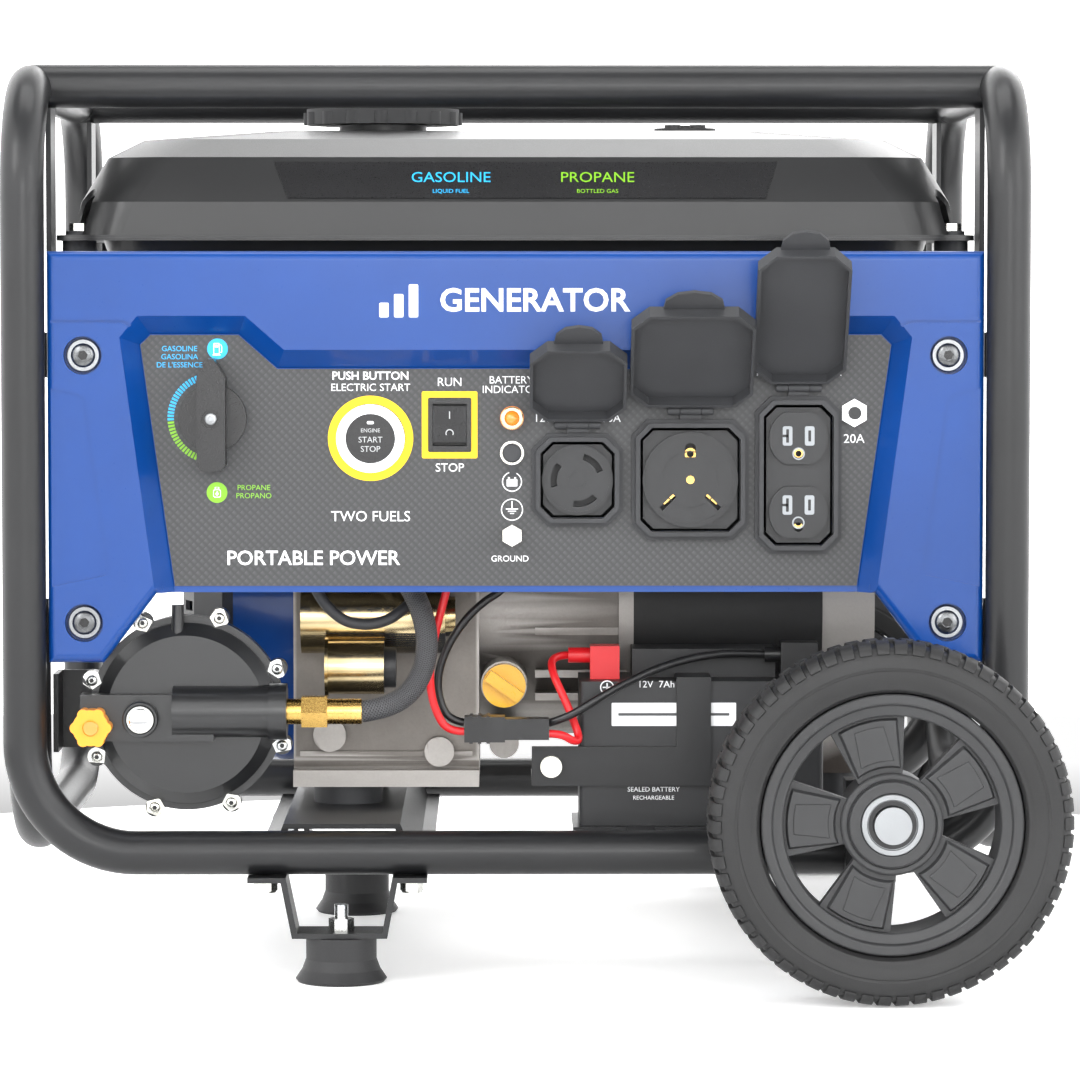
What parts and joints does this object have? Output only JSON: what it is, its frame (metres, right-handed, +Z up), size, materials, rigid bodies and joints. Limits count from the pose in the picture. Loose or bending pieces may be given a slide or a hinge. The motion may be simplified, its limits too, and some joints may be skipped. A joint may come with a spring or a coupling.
{
  "type": "portable generator",
  "caption": "Open-frame portable generator with a tube cradle, flat-topped tank, blue control panel, engine, alternator, gas regulator, battery, two wheels and rubber feet",
  "frame": {"origin": "centre of the generator's bounding box on the ground plane, wheels included", "axes": "+Z up, -Y towards the person at the control panel, +X along the engine shaft from the starter to the alternator"},
  "size_m": [0.6094, 0.624, 0.5325],
  "materials": {
    "frame_paint": "satin black powder coat",
    "panel_blue": "smooth blue enamel",
    "plate_grey": "dark overlay with a fine woven pattern",
    "tank_black": "fine textured black",
    "black_plastic": "moulded black",
    "black_rubber": "moulded rubber",
    "tyre_rubber": "solid tyre",
    "cast_alloy": "sand-cast aluminium",
    "bright_steel": "zinc and nickel plate",
    "steel_grey": "plain steel",
    "brass_metal": "turned brass",
    "gold_zinc": "yellow zinc plate",
    "red_insulation": "red insulation",
    "black_insulation": "black insulation",
    "yellow_plastic": "amber yellow",
    "orange_plastic": "orange",
    "chrome_trim": "polished",
    "copper_core": "varnished windings and laminations",
    "muffler_steel": "heat-stained steel"
  },
  "bodies": {
    "root": {"frame_front_tube": "frame_paint", "frame_rear_tube": "frame_paint", "top_cross_tubes": "frame_paint", "lower_side_tubes": "frame_paint", "support_channels": "frame_paint", "frame_brackets": "frame_paint", "wheel_axles": "steel_grey", "foot_brackets": "frame_paint", "rubber_feet": "black_rubber", "bolts": "bright_steel", "front_panel": "panel_blue", "control_plate": "plate_grey", "control_box": "frame_paint", "panel_fittings": "chrome_trim", "ground_terminal": "bright_steel", "outlet_bezels": "black_rubber", "outlet_sockets": "black_plastic", "tank_upper_shell": "tank_black", "tank_lower_shell": "tank_black", "crankcase": "cast_alloy", "cylinder_head": "cast_alloy", "valve_cover": "steel_grey", "piston": "cast_alloy", "fan_shroud": "panel_blue", "recoil_cover": "black_plastic", "adaptor_housing": "cast_alloy", "stator": "copper_core", "alternator_end_cover": "cast_alloy", "muffler": "muffler_steel", "intake": "black_plastic", "starter_motor": "gold_zinc", "rubber_mounts": "black_rubber", "regulator_body": "black_plastic", "regulator_cover": "black_plastic", "hose_fitting": "brass_metal", "fuel_hoses": "black_rubber", "battery_case": "black_plastic", "battery_bracket": "frame_paint", "lead_fittings": "red_insulation", "red_leads": "red_insulation", "black_leads": "black_insulation"},
    "front_wheel": {"front_tyre": "tyre_rubber", "front_rim": "black_plastic"},
    "rear_wheel": {"rear_tyre": "tyre_rubber", "rear_rim": "black_plastic"},
    "engine_shaft": {"crankshaft": "steel_grey", "flywheel": "steel_grey", "rotor": "copper_core"},
    "fuel_cap": {"fuel_cap": "black_plastic"},
    "dipstick": {"dipstick": "yellow_plastic"},
    "inlet_cap": {"inlet_cap": "orange_plastic"},
    "primer_button": {"primer_button": "bright_steel"},
    "selector_knob": {"selector_knob": "black_plastic"},
    "start_button": {"start_button": "black_plastic"},
    "rocker_switch": {"rocker_switch": "black_plastic"},
    "breaker_button": {"breaker_button": "black_plastic"},
    "cover_small": {"cover_small": "black_rubber"},
    "cover_medium": {"cover_medium": "black_rubber"},
    "cover_tall": {"cover_tall": "black_rubber"},
    "recoil_handle": {"recoil_handle": "black_rubber"}
  },
  "joints": [
    {"name": "front_wheel_turn", "type": "hinge", "parent": "root", "child": "front_wheel", "pos_m": [0.20195, -0.2875, 0.1028], "axis": [0, 1, 0], "continuous": true},
    {"name": "rear_wheel_turn", "type": "hinge", "parent": "root", "child": "rear_wheel", "pos_m": [0.20195, 0.2875, 0.1028], "axis": [0, 1, 0], "continuous": true},
    {"name": "engine_shaft_turn", "type": "hinge", "parent": "root", "child": "engine_shaft", "pos_m": [-0.00785, 0.025, 0.206], "axis": [1, 0, 0], "continuous": true},
    {"name": "fuel_cap_turn", "type": "hinge", "parent": "root", "child": "fuel_cap", "pos_m": [-0.08935, 0, 0.5], "axis": [0, 0, 1], "range_deg": [0, 270]},
    {"name": "dipstick_turn", "type": "hinge", "parent": "root", "child": "dipstick", "pos_m": [-0.01475, -0.09, 0.1626], "axis": [0, -1, 0], "range_deg": [0, 540]},
    {"name": "inlet_cap_turn", "type": "hinge", "parent": "root", "child": "inlet_cap", "pos_m": [-0.25415, -0.195, 0.1474], "axis": [0, -1, 0], "range_deg": [0, 360]},
    {"name": "primer_button_slide", "type": "slide", "parent": "root", "child": "primer_button", "axis": [0, 1, 0], "range_m": [0, 0.004], "stiffness_N_per_m": 150},
    {"name": "selector_knob_turn", "type": "hinge", "parent": "root", "child": "selector_knob", "pos_m": [-0.18325, -0.193, 0.3266], "axis": [0, -1, 0], "range_deg": [0, 180]},
    {"name": "start_button_slide", "type": "slide", "parent": "root", "child": "start_button", "axis": [0, 1, 0], "range_m": [0, 0.0015], "stiffness_N_per_m": 400},
    {"name": "rocker_switch_turn", "type": "hinge", "parent": "root", "child": "rocker_switch", "pos_m": [-0.04625, -0.19, 0.3226], "axis": [1, 0, 0], "range_deg": [0, 16]},
    {"name": "breaker_button_slide", "type": "slide", "parent": "root", "child": "breaker_button", "axis": [0, -1, 0], "range_m": [0, 0.004]},
    {"name": "cover_small_turn", "type": "hinge", "parent": "root", "child": "cover_small", "pos_m": [0.02775, -0.1992, 0.323], "axis": [1, 0, 0], "range_deg": [0, 138]},
    {"name": "cover_medium_turn", "type": "hinge", "parent": "root", "child": "cover_medium", "pos_m": [0.09305, -0.1992, 0.33105], "axis": [1, 0, 0], "range_deg": [0, 138]},
    {"name": "cover_tall_turn", "type": "hinge", "parent": "root", "child": "cover_tall", "pos_m": [0.15565, -0.1992, 0.34435], "axis": [1, 0, 0], "range_deg": [0, 142]},
    {"name": "recoil_handle_slide", "type": "slide", "parent": "root", "child": "recoil_handle", "axis": [-1, 0, 0], "range_m": [0, 0.45], "stiffness_N_per_m": 8}
  ]
}
